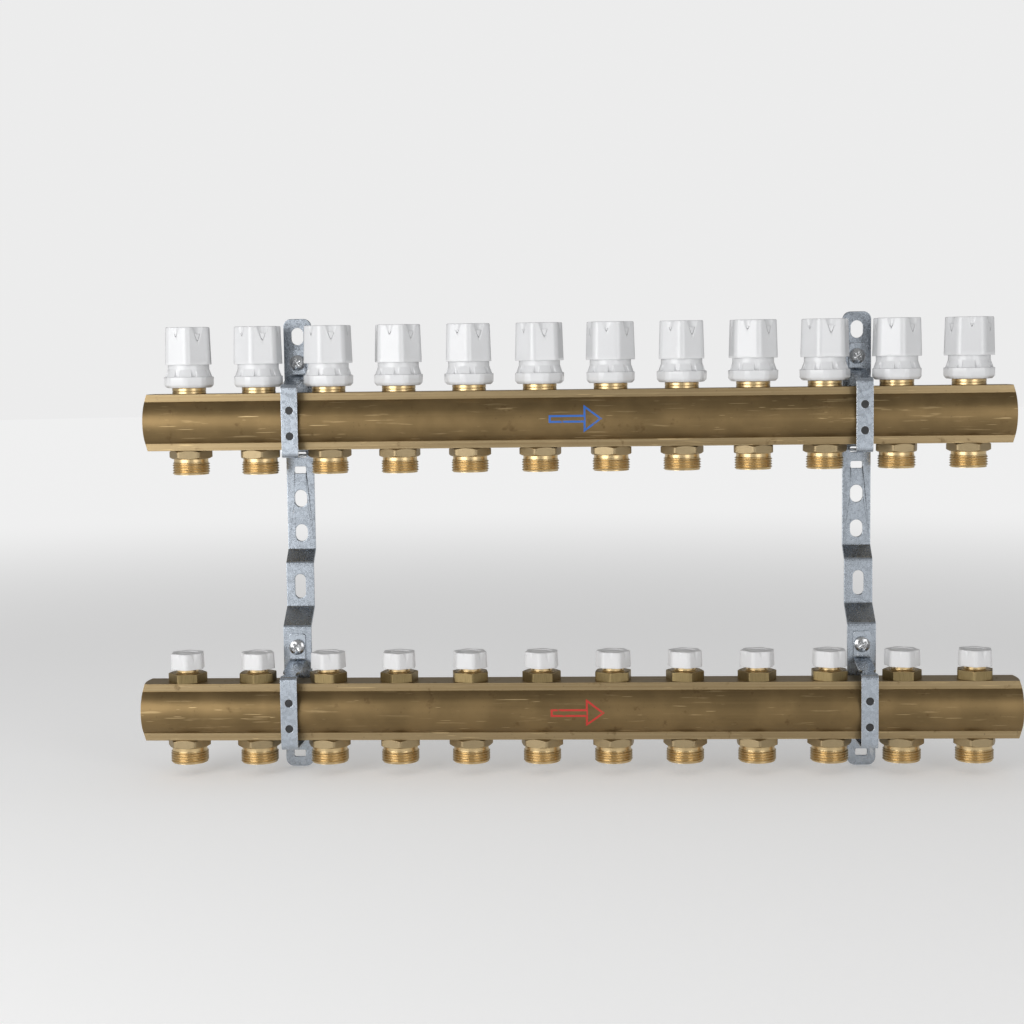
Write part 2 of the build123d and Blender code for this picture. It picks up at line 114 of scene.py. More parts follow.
# Lockshield, measured up from the bar
LOCKSHIELD_SPIGOT = 10.0 * MM
LOCKSHIELD_BORE = 4.2 * MM
LOCKSHIELD_HEXAGON = 6.5 * MM
LOCKSHIELD_HEXAGON_LEAN = 9
LOCKSHIELD_SHOULDER = 9.3 * MM
LOCKSHIELD_NECK = 7.5 * MM
LOCKSHIELD_NECK_LENGTH = 10.5 * MM

# Valve insert, measured up from the bar
INSERT_SPIGOT = 10.0 * MM
INSERT_FLANGE = 11.9 * MM
INSERT_STUB = 10.9 * MM
INSERT_STUB_TOP = 16.0 * MM
INSERT_BORE = 6.0 * MM
INSERT_PIN_HOLE = 3.0 * MM

# Collar
COLLAR_BORE = 11.05 * MM
COLLAR_GAP = 4.5 * MM
COLLAR_FLANGE = 7.7 * MM
COLLAR_FLAT = 16.9 * MM
COLLAR_CORNER = 17.55 * MM
COLLAR_NECK = 14.5 * MM
COLLAR_NECK_LENGTH = 17.8 * MM
GUSSET_DEPTH = 1.9 * MM
GUSSET_HEIGHT = 5.3 * MM
GUSSET_HALF_ANGLE = radians(17.2)
GUSSET_EDGE = radians(1.9)

# Clamp screw
SCREW_HEAD = 5.5 * MM
SCREW_HEIGHT = 3.55 * MM
SCREW_SHANK = 2.9 * MM
SCREW_TURN = radians(35)
SCREW_SEAT = 19.0 * MM
SCREW_RISE = 41 * MM
CROSS_HALF_WIDTH = 0.95 * MM
CROSS_REACH = 3.5 * MM
CROSS_DEPTH = 1.5 * MM

# Lining of a bar's end
PORT_WALL = 15.4 * MM
PORT_ROOT = 15.13 * MM
PORT_LENGTH = 16.5 * MM
PORT_INSET = 17.7 * MM

# Angle, in degrees, at which each fitting was left when it was screwed in
WHEEL_TURNS = (9, -6, -12, 14, 3, -14, 20, -3, 11, -20, 6, 25)
CAP_TURNS = (7, 19, -12, 3, 15, -5, 21, 10, -17, 1, 13, -9)
LOCKSHIELD_TURNS = (10, 27, -8, 16, -21, 5, 22, -13, 2, 29, -4, 18)
OUTLET_TURNS = (4, -16, 11, 24, -9, 17, -22, 8, 28, -3, 14, -12)


def length(name, about, default):
    """Size property in metres, its default given in millimetres."""
    metres = default * MM
    return FloatProperty(name=name, description=about, default=metres, min=0, precision=5, unit="LENGTH")


def colour(name, about, default):
    """Colour property."""
    return FloatVectorProperty(
        name=name, description=about, default=default, min=0, max=1, size=3, subtype="COLOR"
    )


class ManifoldKnobSizes(bpy.types.PropertyGroup):
    """Sizes of the handwheels, caps and collars."""

    wheel_radius: length("Handwheel radius", "Radius over the handwheel's corners at its foot", 17.5)
    wheel_top_radius: length("Handwheel top radius", "Radius over the corners at the top", 16.7)
    wheel_corner: length("Handwheel corner", "Radius of the soft corners", 5.5)
    wheel_edge: length("Handwheel edge", "Rounding of the top edge", 0.8)
    wheel_dent_long: length("Long dent", "Length of every second finger dent", 12.5)
    wheel_dent_short: length("Short dent", "Length of the dents between", 8.5)
    cap_radius: length("Cap radius", "Radius over the cap's corners at its foot", 12.5)
    cap_top_radius: length("Cap top radius", "Radius over the corners at the top", 12.1)
    cap_corner: length("Cap corner", "Radius of the soft corners", 3.9)
    cap_edge: length("Cap edge", "Rounding of the top edge", 0.7)
    cap_dent_long: length("Long cap dent", "Length of every second dent", 6.0)
    cap_dent_short: length("Short cap dent", "Length of the dents between", 4.5)
    dent_tilt: FloatProperty(
        name="Dent tilt", description="Lean of a dent's axis", default=radians(26.5), subtype="ANGLE"
    )
    dent_half_angle: FloatProperty(
        name="Dent half angle",
        description="Half the dent's cone angle",
        default=radians(33.8),
        subtype="ANGLE",
    )
    softness: length("Softness", "Rounding where a dent breaks the flat", 0.35)


class ManifoldFittingSizes(bpy.types.PropertyGroup):
    """Sizes of the brass fittings."""

    outlet_flat: length("Outlet hexagon", "Width across the outlet's flats", 27.0)
    lockshield_flat: length("Lockshield hexagon", "Width across the lockshield's flats", 23.7)
    thread_radius: length("Thread radius", "Outer radius of the outlet thread", 13.22)
    thread_pitch: length("Thread pitch", "Rise of the thread in one turn", 1.814)
    thread_depth: length("Thread depth", "Depth of the outlet thread", 0.95)
    port_pitch: length("Port thread pitch", "Rise of the port thread in one turn", 2.309)
    port_depth: length("Port thread depth", "Height of the port thread", 0.6)
    steps: IntProperty(name="Steps", description="Steps round a turned fitting", default=96, min=24, step=24)


class ManifoldFinishes(bpy.types.PropertyGroup):
    """Colours of the finishes."""

    # Paler brass of the bar's flat front strips: a painted reflection of the front light that these flat
    # faces mirror
    dull_brass: colour("Dull brass", "Drawn bar, browned with age", (0.245, 0.168, 0.078))
    strip_sheen_brass: colour("Pale brass", "Flat strips of the bar", (0.47, 0.37, 0.22))
    bright_brass: colour("Bright brass", "Freshly turned brass", (0.77, 0.58, 0.31))
    blasted_brass: colour("Blasted brass", "Grainy brass of the hexagons", (0.43, 0.335, 0.195))
    gloss_white: colour("Gloss white", "Handwheels and collars", (0.73, 0.735, 0.745))
    satin_white: colour("Satin white", "Lockshield caps", (0.74, 0.74, 0.745))
    zinc: colour("Zinc", "Plates and straps", (0.40, 0.44, 0.49))
    screw_plate: colour("Screw plating", "Clamp screws", (0.68, 0.69, 0.70))
    rubber: colour("Rubber", "Pads and seals", (0.018, 0.018, 0.019))
    return_mark: colour("Return mark", "Flow arrow on the return bar", (0.012, 0.13, 0.50))
    flow_mark: colour("Flow mark", "Flow arrow on the flow bar", (0.55, 0.018, 0.015))


class ManifoldStage(bpy.types.PropertyGroup):
    """Camera and studio light."""

    lens: FloatProperty(name="Lens", description="Focal length", default=64.83, unit="CAMERA")
    pitch: FloatProperty(
        name="Pitch", description="Camera's tilt down", default=radians(4.95), subtype="ANGLE"
    )
    yaw: FloatProperty(
        name="Yaw", description="Camera's turn to the right", default=radians(-2.84), subtype="ANGLE"
    )
    roll: FloatProperty(name="Roll", description="Camera's roll", default=radians(-0.736), subtype="ANGLE")
    place: FloatVectorProperty(
        name="Place", description="Camera's place", default=(0.019, -1.3277, 0.2487), subtype="TRANSLATION"
    )
    key: FloatProperty(name="Key", description="Power of the left softbox", default=15.0, unit="POWER")
    fill: FloatProperty(name="Fill", description="Power of the right softbox", default=5.5, unit="POWER")
    ambient: FloatProperty(name="Ambient", description="Strength of the room's light", default=0.27)


class Value:
    """A node socket on which Python arithmetic adds Math nodes."""

    def __init__(self, graph, socket):
        self.graph = graph
        self.socket = socket

    def math(self, operation, *others):
        return self.graph.math(operation, self, *others)

    def __add__(self, other):
        return self.math("ADD", other)

    def __sub__(self, other):
        return self.math("SUBTRACT", other)

    def __mul__(self, other):
        return self.math("MULTIPLY", other)

    def __truediv__(self, other):
        return self.math("DIVIDE", other)

    def __rsub__(self, other):
        return self.graph.math("SUBTRACT", other, self)

    def __rtruediv__(self, other):
        return self.graph.math("DIVIDE", other, self)

    __radd__ = __add__
    __rmul__ = __mul__


class Graph:
    """Adds nodes to a node tree."""

    def __init__(self, tree):
        self.tree = tree

    def node(self, kind, settings=None, inputs=None, output=0):
        """One node: its settings first, then numbers or links on its sockets."""
        made = self.tree.nodes.new(kind)
        for name, value in (settings or {}).items():
            setattr(made, name, value)
        for name, value in (inputs or {}).items():
            if isinstance(value, Value):
                self.tree.links.new(value.socket, made.inputs[name])
            else:
                made.inputs[name].default_value = value
        return Value(self, made.outputs[output]) if len(made.outputs) else made

    def math(self, operation, *values):
        return self.node("ShaderNodeMath", {"operation": operation}, dict(enumerate(values)))

    def smallest(self, first, *rest):
        for value in rest:
            first = self.math("MINIMUM", first, value)
        return first

    def largest(self, first, *rest):
        for value in rest:
            first = self.math("MAXIMUM", first, value)
        return first

    def step(self, value, low, high):
        """Soft step from 0 at low to 1 at high."""
        inputs = {"Value": value, "From Min": low, "From Max": high}
        return self.node("ShaderNodeMapRange", {"interpolation_type": "SMOOTHSTEP"}, inputs)

    def blend(self, share, first, second):
        """Mix of two colours."""
        inputs = {0: share, 6: rgba(first), 7: rgba(second)}
        return self.node("ShaderNodeMix", {"data_type": "RGBA"}, inputs, 2)

    def here(self):
        """Object coordinates."""
        return self.node("ShaderNodeTexCoord", output="Object")

    def parts(self, vector):
        """X, Y and Z of a vector."""
        made = self.node("ShaderNodeSeparateXYZ", {}, {0: vector}).socket.node
        return [Value(self, socket) for socket in made.outputs]

    def scaled(self, scale, turn=(0, 0, 0)):
        """Object coordinates, turned and then stretched."""
        return self.node("ShaderNodeMapping", {}, {"Vector": self.here(), "Scale": scale, "Rotation": turn})

    def noise(self, scale, detail=3.0, turn=(0, 0, 0), rough=0.5):
        """Noise whose grains are 1/scale metres, with one scale for each axis if it is given three."""
        stretch = scale if isinstance(scale, tuple) else (scale, scale, scale)
        inputs = {"Vector": self.scaled(stretch, turn), "Scale": 1.0, "Detail": detail, "Roughness": rough}
        return self.node("ShaderNodeTexNoise", {}, inputs)

    def bump(self, height, distance, strength=1.0, normal=None):
        inputs = {"Height": height, "Distance": distance, "Strength": strength}
        if normal:
            inputs["Normal"] = normal
        return self.node("ShaderNodeBump", {}, inputs)

    def edges(self, radius):
        """Rounded normal, and a mask that is 1 along the edges: worn edges on the brass, a painted edge
        highlight on the zinc and plain metal.
        """
        soft = self.node("ShaderNodeBevel", {"samples": 6}, {"Radius": radius})
        plain = self.node("ShaderNodeNewGeometry", output="Normal")
        along = self.node("ShaderNodeVectorMath", {"operation": "DOT_PRODUCT"}, {0: soft, 1: plain}, "Value")
        return soft, self.step(1.0 - along, 0.01, 0.12)

    def surface(self, **inputs):
        """Principled shader and output; a name's underscores stand for spaces."""
        sockets = {name.replace("_", " "): value for name, value in inputs.items()}
        shader = self.node("ShaderNodeBsdfPrincipled", {}, sockets)
        self.node("ShaderNodeOutputMaterial", {}, {"Surface": shader})


def rgba(value):
    """Colour socket value from a link or from three numbers."""
    return value if isinstance(value, Value) else (*value, 1.0)


def new_material(name):
    """Empty material and its graph."""
    material = bpy.data.materials.get(name) or bpy.data.materials.new(name)
    material.use_nodes = True
    material.node_tree.nodes.clear()
    return material, Graph(material.node_tree)


def flow_arrow(graph, x, z):
    """Mask of an outlined arrow, about 40 mm long, pointing along X."""

    def arrow(grow):
        shaft = graph.smallest(
            graph.step(x, -0.0185 - grow, -0.0183 - grow),
            1.0 - graph.step(x, 0.0062, 0.0064),
            1.0 - graph.step(z.math("ABSOLUTE"), 0.0026 + grow, 0.0028 + grow),
        )
        lean = z.math("ABSOLUTE") * 1.35 + x
        head = graph.smallest(
            graph.step(x, 0.0058 - grow, 0.0060 - grow),
            1.0 - graph.step(lean, 0.0188 + 1.6 * grow, 0.0191 + 1.6 * grow),
        )
        return graph.largest(shaft, head)

    return arrow(0.0) * (1.0 - arrow(-0.0014))


def drawn_brass(name, axis, mark, colours):
    """Dull drawn bar with lengthwise lines, stains, rubbed patches and a painted flow arrow."""
    material, g = new_material(name)
    x, y, z = g.parts(g.here())
    across = y - axis[0]
    up = z - axis[1]
    out = (across * across + up * up).math("SQRT")
    # Mask of the flat front strips, which are painted paler as a painted reflection of the front light
    strip_sheen = g.step(out, 0.01908, 0.0193)
    lines = g.noise((5.0, 1100.0, 1100.0), 2.0)
    fine = g.noise((14.0, 3400.0, 3400.0), 1.0)
    broad = g.noise((7.0, 60.0, 60.0), 4.0)
    cloud = g.noise(38.0, 5.0)
    rubbed = g.step(g.noise((30.0, 420.0, 420.0), 5.0), 0.62, 0.74)
    stain = g.step(g.noise(85.0, 6.0, rough=0.65), 0.60, 0.70)
    specks = g.step(g.noise(900.0, 2.0), 0.71, 0.76)
    scratches = g.largest(
        g.step(g.noise((28.0, 1300.0, 900.0), 1.0, (0.0, 0.35, 0.1)), 0.73, 0.76),
        g.step(g.noise((60.0, 1600.0, 1200.0), 1.0, (0.2, -0.6, 0.1)), 0.75, 0.78),
    )
    soft, edge = g.edges(0.0005)
    body = g.blend(lines * 0.55 + broad * 0.45, [c * 0.66 for c in colours.dull_brass], colours.dull_brass)
    body = g.blend(g.step(cloud, 0.35, 0.7) * 0.45, body, [c * 1.28 for c in colours.dull_brass])
    # Painted reflection: the strips get the paler brass, with the lengthwise lines running through it
    body = g.blend(strip_sheen * 0.85, body, g.blend(lines, colours.dull_brass, colours.strip_sheen_brass))
    body = g.blend(rubbed * 0.28, body, colours.bright_brass)
    body = g.blend(stain * 0.5, body, (0.12, 0.075, 0.035))
    body = g.blend(specks * 0.7, body, (0.05, 0.035, 0.02))
    body = g.blend(scratches * 0.55, body, colours.bright_brass)
    body = g.blend(edge * 0.6, body, colours.bright_brass)
    front = 1.0 - g.step(across, -0.0125, -0.012)
    painted = flow_arrow(g, x, up) * front * (1.0 - g.step(g.noise(420.0, 3.0), 0.60, 0.68) * 0.7)
    body = g.blend(painted * 0.92, body, mark)
    rough = 0.30 + lines * 0.10 + cloud * 0.14 + stain * 0.12 - rubbed * 0.06 + painted * 0.1
    height = lines * 0.5 + fine * 0.25 - scratches * 0.8 - specks * 0.7
    g.surface(
        Base_Color=body,
        Metallic=1.0 - painted * 0.9 - specks * 0.3,
        Roughness=rough,
        Normal=g.bump(height, 0.00006, 0.55, soft),
    )
    return material


def worked_brass(name, colours):
    """Fittings: turned where the attribute says so, grainy from blasting elsewhere."""
    material, g = new_material(name)
    turned = g.node("ShaderNodeAttribute", {"attribute_name": "turned"}, output="Fac")
    grain = g.noise(2600.0, 3.0)
    rings = g.noise((40.0, 40.0, 2600.0), 1.0)
    tint = g.noise(70.0, 4.0)
    pits = g.step(g.noise(1500.0, 2.0), 0.66, 0.74)
    soft, edge = g.edges(0.00035)
    dark, light = ([c * share for c in colours.blasted_brass] for share in (0.62, 1.12))
    blasted = g.blend(grain, dark, light)
    blasted = g.blend(edge * 0.75, blasted, colours.bright_brass)
    shaded = [c * 0.72 for c in colours.bright_brass]
    bright = g.blend(rings * 0.45 + tint * 0.4, shaded, colours.bright_brass)
    body = g.blend(turned, blasted, bright)
    body = g.blend(pits * 0.3, body, (0.16, 0.10, 0.04))
    rough = 0.40 + grain * 0.14 - turned * 0.20 + tint * 0.08 - edge * 0.08
    height = (grain - pits * 0.4) * (1.0 - turned) + rings * turned * 0.08
    normal = g.bump(height, 0.00009, 0.6, soft)
    g.surface(Base_Color=body, Metallic=1.0, Roughness=rough, Normal=normal)
    return material


def scratched_brass(name, colours):
    """Olive brass of the lockshields, scratched upright on the hexagon, bright on the neck."""
    material, g = new_material(name)
    turned = g.node("ShaderNodeAttribute", {"attribute_name": "turned"}, output="Fac")
    scores = g.noise((2600.0, 2600.0, 130.0), 3.0)
    tint = g.noise(130.0, 4.0)
    soft, edge = g.edges(0.0004)
    olive = g.blend(scores, (0.13, 0.095, 0.042), (0.40, 0.305, 0.15))
    olive = g.blend(edge * 0.85, olive, colours.bright_brass)
    bright = g.blend(tint, [c * 0.78 for c in colours.bright_brass], colours.bright_brass)
    rough = 0.36 + scores * 0.10 - turned * 0.20 + tint * 0.06
    normal = g.bump(scores * (1.0 - turned), 0.00007, 0.5, soft)
    g.surface(Base_Color=g.blend(turned, olive, bright), Metallic=1.0, Roughness=rough, Normal=normal)
    return material


def moulded_white(name, tone, shine, ripple):
    """Moulded plastic with a faint ripple, a few scuffs and dust."""
    material, g = new_material(name)
    flow = g.noise(55.0, 3.0)
    peel = g.noise(950.0, 2.0)
    scuffs = g.step(g.noise((240.0, 900.0, 900.0), 2.0, (0.4, 0.9, 0.2)), 0.72, 0.77)
    dust = g.step(g.noise(1700.0, 1.0), 0.76, 0.80)
    soft = g.node("ShaderNodeBevel", {"samples": 6}, {"Radius": 0.0003})
    body = g.blend(flow, [c * 0.955 for c in tone], tone)
    body = g.blend(scuffs * 0.10 + dust * 0.22, body, (0.45, 0.44, 0.42))
    rough = shine + flow * 0.05 + scuffs * 0.18
    normal = g.bump(peel * 0.7 + flow * 0.3 - scuffs * 0.5, ripple, 0.35, soft)
    g.surface(Base_Color=body, Roughness=rough, Normal=normal, IOR=1.5)
    return material


def zinc_plate(name, tone, dim=1.0):
    """Zinc plating with mottled spangle and handling marks, its edges painted near-white as a painted edge
    highlight.
    """
    material, g = new_material(name)
    cells = g.node("ShaderNodeTexVoronoi", {}, {"Vector": g.here(), "Scale": 520.0}, "Color")
    spangle = g.parts(cells)[0]
    mottle = g.noise(170.0, 5.0, rough=0.62)
    wide = g.noise(26.0, 3.0)
    marks = g.step(g.noise((300.0, 1500.0, 70.0), 2.0, (0.1, 0.5, 0.3)), 0.70, 0.75)
    specks = g.step(g.noise(1200.0, 2.0), 0.70, 0.75)
    soft, edge = g.edges(0.0005)
    shade = spangle * 0.38 + mottle * 0.42 + wide * 0.2
    body = g.blend(shade, [c * 0.74 * dim for c in tone], [min(1.0, c * 1.22 * dim) for c in tone])
    body = g.blend(specks * 0.4, body, (0.14, 0.15, 0.17))
    # Handling marks are real; the near-white edges are a painted edge highlight
    body = g.blend(marks * 0.4 + edge * 0.75, body, (0.86, 0.88, 0.90))
    rough = 0.20 + spangle * 0.06 + mottle * 0.08 - edge * 0.04
    normal = g.bump(mottle * 0.5 + spangle * 0.15 - marks * 0.3, 0.00002, 0.4, soft)
    g.surface(Base_Color=body, Metallic=1.0, Roughness=rough, Normal=normal)
    return material


def plain_metal(name, tone, rough, scale):
    """Bright metal with fine marks and painted edge highlights, for screws, pins, spindles and springs."""
    material, g = new_material(name)
    marks = g.noise(scale, 3.0)
    tint = g.noise(120.0, 3.0)
    soft, edge = g.edges(0.0003)
    body = g.blend(marks * 0.5 + tint * 0.5, [c * 0.70 for c in tone], tone)
    # Near-white edges: a painted edge highlight
    body = g.blend(edge * 0.6, body, (0.92, 0.92, 0.92))
    normal = g.bump(marks, 0.00003, 0.5, soft)
    g.surface(Base_Color=body, Metallic=1.0, Roughness=rough + marks * 0.12, Normal=normal)
    return material


def moulded_rubber(name, tone):
    """Black rubber with a dusty bloom."""
    material, g = new_material(name)
    grain = g.noise(1400.0, 3.0)
    bloom = g.step(g.noise(180.0, 4.0), 0.5, 0.75)
    body = g.blend(bloom * 0.35, tone, (0.075, 0.073, 0.07))
    g.surface(Base_Color=body, Roughness=0.52 + bloom * 0.2, Normal=g.bump(grain, 0.00008, 0.5))
    return material


def stage_paint(name, far_tone):
    """Pale matt floor that melts into the room's tone away from the manifold, so that no horizon shows."""
    material, g = new_material(name)
    x, y, _ = g.parts(g.here())
    far = g.step((x * x + y * y).math("SQRT"), 0.55, 2.2)
    roller = g.noise(220.0, 3.0)
    body = g.blend(far, g.blend(roller, (0.80, 0.80, 0.80), (0.84, 0.84, 0.84)), (0.0, 0.0, 0.0))
    glow = g.blend(far, [0.30 * c for c in far_tone], far_tone)
    bump = g.bump(roller, 0.0002, 0.2)
    g.surface(Base_Color=body, Roughness=0.85, Normal=bump, Emission_Color=glow, Emission_Strength=1.0)
    return material


def angles(steps):
    """Even angles round a circle."""
    return np.arange(steps) * 2 * pi / steps


def polygon_reach(around, sides, flat, corner=0.0, limit=None, start=0.0):
    """Distance from the axis to a polygon's edge, its corners rounded, or turned down to a limit."""
    face = 2 * pi / sides
    off = np.abs((around - start + face / 2) % face - face / 2)
    reach = flat / np.cos(off)
    if corner:
        centre = (flat - corner) / cos(pi / sides)
        tangent = np.arctan2((flat - corner) * tan(pi / sides), flat)
        from_corner = pi / sides - off
        arc = centre * np.cos(from_corner)
        arc = arc + np.sqrt(np.maximum(corner**2 - (centre * np.sin(from_corner)) ** 2, 0))
        reach = np.where(off > tangent, arc, reach)
    return np.minimum(reach, limit) if limit else reach


def skin(name, around, rings, hollow=False):
    """Closed mesh through rings of (radius, height, turned, threaded); hollow joins the last to the first."""
    count = len(around)
    points, turned, thread = [], [], []
    for radius, height, worked, threaded in rings:
        radius = np.broadcast_to(radius, count)
        height = np.broadcast_to(height, count)
        points += zip(radius * np.cos(around), radius * np.sin(around), height)
        turned += [worked] * count
        thread += [threaded] * count
    faces = []
    pairs = [(i, i + 1) for i in range(len(rings) - 1)]
    if hollow:
        pairs.append((len(rings) - 1, 0))
    for low, high in pairs:
        for i in range(count):
            j = (i + 1) % count
            faces.append((low * count + i, low * count + j, high * count + j, high * count + i))
    if not hollow:
        for first in (0, (len(rings) - 1) * count):
            centre = len(points)
            points.append((0.0, 0.0, float(np.mean([p[2] for p in points[first : first + count]]))))
            turned.append(turned[first])
            thread.append(0.0)
            faces += [(first + i, first + (i + 1) % count, centre) for i in range(count)]
    mesh = bpy.data.meshes.new(name)
    mesh.from_pydata(points, [], faces)
    for label, values in (("turned", turned), ("thread", thread)):
        mesh.attributes.new(label, "FLOAT", "POINT").data.foreach_set("value", values)
    return tidy(mesh)


def tidy(mesh, angle=32.0):
    """Mesh with outward normals, smooth but for its real edges."""
    work = bmesh.new()
    work.from_mesh(mesh)
    bmesh.ops.recalc_face_normals(work, faces=work.faces)
    work.to_mesh(mesh)
    work.free()
    mesh.shade_smooth()
    mesh.set_sharp_from_angle(angle=radians(angle))
    return mesh


def new_object(name, mesh):
    made = bpy.data.objects.new(name, mesh)
    bpy.context.scene.collection.objects.link(made)
    return made


def settle(piece, material, slot, body, *nodes):
    """Gives a finished piece its material and body, and hides the nodes it stands for; the slot argument is
    not used.
    """
    piece.data.materials.clear()
    piece.data.materials.append(material)
    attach(piece, body)
    if nodes:
        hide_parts(*nodes)
    return piece


def grow(piece, tree, inputs):
    """Runs a Geometry Nodes tree on a piece and keeps the result as its plain mesh."""
    modifier = piece.modifiers.new(tree.name, "NODES")
    modifier.node_group = tree
    for item in tree.interface.items_tree:
        if item.in_out == "INPUT" and item.name in inputs:
            modifier[item.identifier] = inputs[item.name]
    bpy.context.view_layer.update()
    result = piece.evaluated_get(bpy.context.evaluated_depsgraph_get())
    mesh = bpy.data.meshes.new_from_object(result)
    piece.modifiers.clear()
    piece.data = mesh
    return piece


def new_tree(name, inputs):
    """Empty Geometry Nodes tree with named inputs."""
    tree = bpy.data.node_groups.new(name, "GeometryNodeTree")
    tree.interface.new_socket("Geometry", in_out="INPUT", socket_type="NodeSocketGeometry")
    for label, kind in inputs:
        tree.interface.new_socket(label, in_out="INPUT", socket_type=kind)
    tree.interface.new_socket("Geometry", in_out="OUTPUT", socket_type="NodeSocketGeometry")
    graph = Graph(tree)
    entry = tree.nodes.new("NodeGroupInput")
    return tree, graph, {socket.name: Value(graph, socket) for socket in entry.outputs if socket.name}


def close_tree(graph, geometry, material):
    """Ends a tree with real geometry and its material."""
    real = graph.node("GeometryNodeRealizeInstances", {}, {0: geometry})
    painted = graph.node("GeometryNodeSetMaterial", {}, {"Geometry": real, "Material": material})
    graph.node("NodeGroupOutput", {}, {0: painted})


def row_tree():
    """Tree that sets a fitting on every point, turned by the point's own angle."""
    kinds = [("Fitting", "NodeSocketObject"), ("Finish", "NodeSocketMaterial")]
    tree, g, entry = new_tree("fitting_row", kinds)
    fitting = g.node("GeometryNodeObjectInfo", {}, {"Object": entry["Fitting"]}, "Geometry")
    turn = g.node("GeometryNodeInputNamedAttribute", {"data_type": "FLOAT"}, {"Name": "turn"})
    spin = g.node("ShaderNodeCombineXYZ", {}, {2: turn})
    inputs = {"Points": entry["Geometry"], "Instance": fitting, "Rotation": spin}
    close_tree(g, g.node("GeometryNodeInstanceOnPoints", {}, inputs), entry["Finish"])
    return tree


def thread_tree():
    """Tree that cuts a thread where the attribute says so, down from the surface to Depth."""
    kinds = [(name, "NodeSocketFloat") for name in ("Pitch", "Depth")]
    tree, g, entry = new_tree("thread", kinds + [("Finish", "NodeSocketMaterial")])
    x, y, z = g.parts(g.node("GeometryNodeInputPosition"))
    out = (x * x + y * y).math("SQRT")
    lead = z / entry["Pitch"] - g.math("ARCTAN2", y, x) / (2 * pi)
    wave = (lead.math("FRACT") * 2.0 - 1.0).math("ABSOLUTE")
    flank = g.smallest(g.largest(wave * 1.35 - 0.175, 0.0), 1.0)
    mask = g.node("GeometryNodeInputNamedAttribute", {"data_type": "FLOAT"}, {"Name": "thread"})
    inward = 0.0 - flank * mask * entry["Depth"]
    shift = g.node("ShaderNodeCombineXYZ", {}, {0: x / out * inward, 1: y / out * inward, 2: 0.0})
    cut = g.node("GeometryNodeSetPosition", {}, {"Geometry": entry["Geometry"], "Offset": shift})
    close_tree(g, cut, entry["Finish"])
    return tree


def tree_named(name, make):
    return bpy.data.node_groups.get(name) or make()


def row(name, mesh, spots, material):
    """One mesh of a fitting at every spot, each spot a place and a turn in degrees."""
    points = bpy.data.meshes.new(name)
    points.from_pydata([place for place, _ in spots], [], [])
    turns = [radians(turn) for _, turn in spots]
    points.attributes.new("turn", "FLOAT", "POINT").data.foreach_set("value", turns)
    fitting = new_object(name + "_source", mesh)
    piece = new_object(name, points)
    grow(piece, tree_named("fitting_row", row_tree), {"Fitting": fitting, "Finish": material})
    bpy.data.objects.remove(fitting)
    return piece


def threaded(mesh, pitch, depth, material):
    """Copy of a turned mesh with its thread cut."""
    blank = new_object("thread_blank", mesh)
    grow(blank, tree_named("thread", thread_tree), {"Pitch": pitch, "Depth": depth, "Finish": material})
    cut = blank.data
    bpy.data.objects.remove(blank)
    return tidy(cut, 40.0)


def circuit_spots(axis, turns):
    """Every circuit's place on a bar, with its turn."""
    return [((x, axis[0], axis[1]), turn) for x, turn in zip(CIRCUITS, turns)]


def fair_copy(name, node, angle=28.0, bevel=0.0):
    """Joined-up copy of a node's mesh with smooth curves, and its edges broken by a small bevel."""
    work = bmesh.new()
    work.from_mesh(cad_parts[node].data)
    bmesh.ops.remove_doubles(work, verts=work.verts, dist=2e-6)
    mesh = bpy.data.meshes.new(name)
    work.to_mesh(mesh)
    work.free()
    for label in ("custom_normal", "sharp_face", "sharp_edge"):
        if label in mesh.attributes:
            mesh.attributes.remove(mesh.attributes[label])
    mesh.shade_smooth()
    mesh.set_sharp_from_angle(angle=radians(angle))
    piece = new_object(name, mesh)
    if bevel:
        edge = piece.modifiers.new("edges", "BEVEL")
        edge.width = bevel
        edge.segments = 2
        edge.limit_method = "ANGLE"
        edge.angle_limit = radians(40)
        edge.harden_normals = True
    return piece


def dent_reach(around, height, surface, tip, tilt, half_angle):
    """Distance from the axis to a dent's wall, for a cone whose tip lies on the flat at angle 0."""
    up = height - tip
    lean = np.cos(around) * sin(tilt)
    lift = up * cos(tilt) - surface * sin(tilt)
    share = cos(half_angle) ** 2
    a = lean**2 - share
    b = 2 * lift * lean + 2 * share * surface * np.cos(around)
    c = lift**2 - share * (surface**2 + up**2)
    under = b**2 - 4 * a * c
    wall = (-b + np.sqrt(np.maximum(under, 0))) / (2 * a)
    far = (-b - np.sqrt(np.maximum(under, 0))) / (2 * a)
    inside = (under > 0) & (up > 0) & (far > wall) & (wall > 0)
    return np.where(inside & (np.cos(around) > 0.5), wall, 1.0)


def soft_smallest(first, second, softness):
    """Smaller of two, rounded where they cross."""
    share = np.clip(0.5 + 0.5 * (second - first) / softness, 0, 1)
    return second + (first - second) * share - softness * share * (1 - share)


